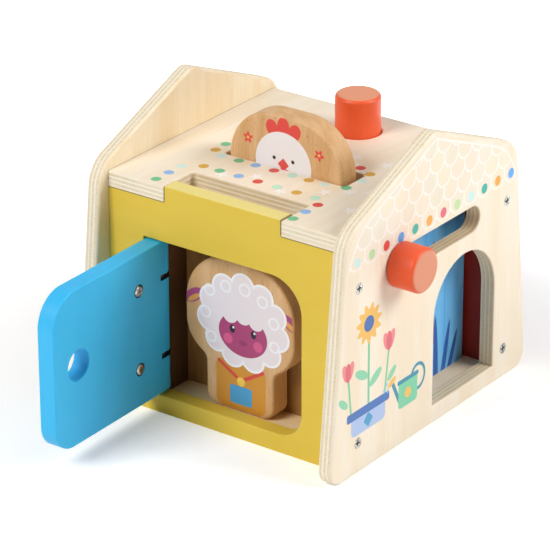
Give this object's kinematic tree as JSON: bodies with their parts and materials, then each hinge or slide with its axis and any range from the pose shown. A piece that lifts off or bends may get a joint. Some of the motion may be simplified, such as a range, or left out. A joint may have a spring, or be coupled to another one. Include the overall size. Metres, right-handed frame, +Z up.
{
  "type": "pop up animal toy",
  "caption": "Wooden toy barn with a hinged door, a block posted through the roof, a button that pops up a hen block, and a knob that slides an animal board past an arched window.",
  "frame": {"origin": "on the ground, under the floor board, midway between the gables and midway along their base", "axes": "+X to the right along the front, +Y from the front to the back, +Z up"},
  "size_m": [0.1908, 0.2677, 0.1749],
  "materials": {
    "natural_ply": "clear satin lacquer on birch plywood",
    "printed_ply": "clear satin lacquer on birch plywood with printed patterns",
    "yellow_paint": "satin mustard yellow paint on plywood",
    "blue_paint": "satin blue paint on plywood",
    "blue_print": "blue print with garden motifs on plywood",
    "dark_red_paint": "satin dark red paint on plywood",
    "plain_wood": "sanded, uncoated wood",
    "orange_paint": "satin orange red paint on turned beech",
    "printed_beech": "bare beech with a printed picture",
    "steel": "zinc plated steel"
  },
  "bodies": {
    "barn": {"left_gable": "natural_ply", "right_gable": "printed_ply", "front_panel": "yellow_paint", "back_panel": "dark_red_paint", "floor_board": "natural_ply", "roof_board": "printed_ply", "left_partition": "natural_ply", "blue_wall": "blue_print", "compartment_back_wall": "natural_ply", "lower_hinge_staple": "steel", "upper_hinge_staple": "steel", "left_hen_guide": "plain_wood", "right_hen_guide": "plain_wood", "left_cheek": "plain_wood", "right_cheek": "plain_wood", "rocker_pin": "steel", "left_gable_screws": "steel", "right_gable_screws": "steel", "cheek_screws": "steel", "guide_screws": "steel", "floor_dowels": "plain_wood", "roof_dowels": "plain_wood", "wall_dowels": "plain_wood"},
    "door_leaf": {"door": "blue_paint", "lower_hinge_eye": "steel", "upper_hinge_eye": "steel", "door_screws": "steel"},
    "hen": {"hen_block": "printed_beech", "hen_keeper": "plain_wood", "keeper_screws": "steel"},
    "button": {"push_button": "orange_paint", "button_flange": "plain_wood"},
    "rocker": {"rocker_lever": "plain_wood"},
    "slider": {"slide_knob": "orange_paint", "slide_key": "plain_wood", "slide_board": "printed_beech", "slide_screw": "steel"},
    "sheep": {"sheep_block": "printed_beech"}
  },
  "joints": [
    {"name": "door_hinge", "type": "hinge", "parent": "barn", "child": "door_leaf", "pos_m": [-0.0477, -0.0716, 0.05915], "axis": [0, 0, 1], "range_deg": [-6, 89]},
    {"name": "button_press", "type": "slide", "parent": "barn", "child": "button", "axis": [0, 0, -1], "range_m": [0, 0.018]},
    {"name": "hen_lift", "type": "slide", "parent": "barn", "child": "hen", "axis": [0, 0, 1], "range_m": [0, 0.02528]},
    {"name": "rocker_tilt", "type": "hinge", "parent": "barn", "child": "rocker", "pos_m": [0, 0.0252, 0.072], "axis": [-1, 0, 0], "range_deg": [0, 40.51]},
    {"name": "knob_slide", "type": "slide", "parent": "barn", "child": "slider", "axis": [0, 1, 0], "range_m": [0, 0.0685]},
    {"name": "sheep_lift", "type": "slide", "parent": "barn", "child": "sheep", "axis": [0, 0, 1], "range_m": [0, 0.13]}
  ],
  "couplings": [
    {"joint": "hen_lift", "follows": "button_press", "ratio": 1.4038},
    {"joint": "rocker_tilt", "follows": "button_press", "rad_per_m": 39.274}
  ]
}
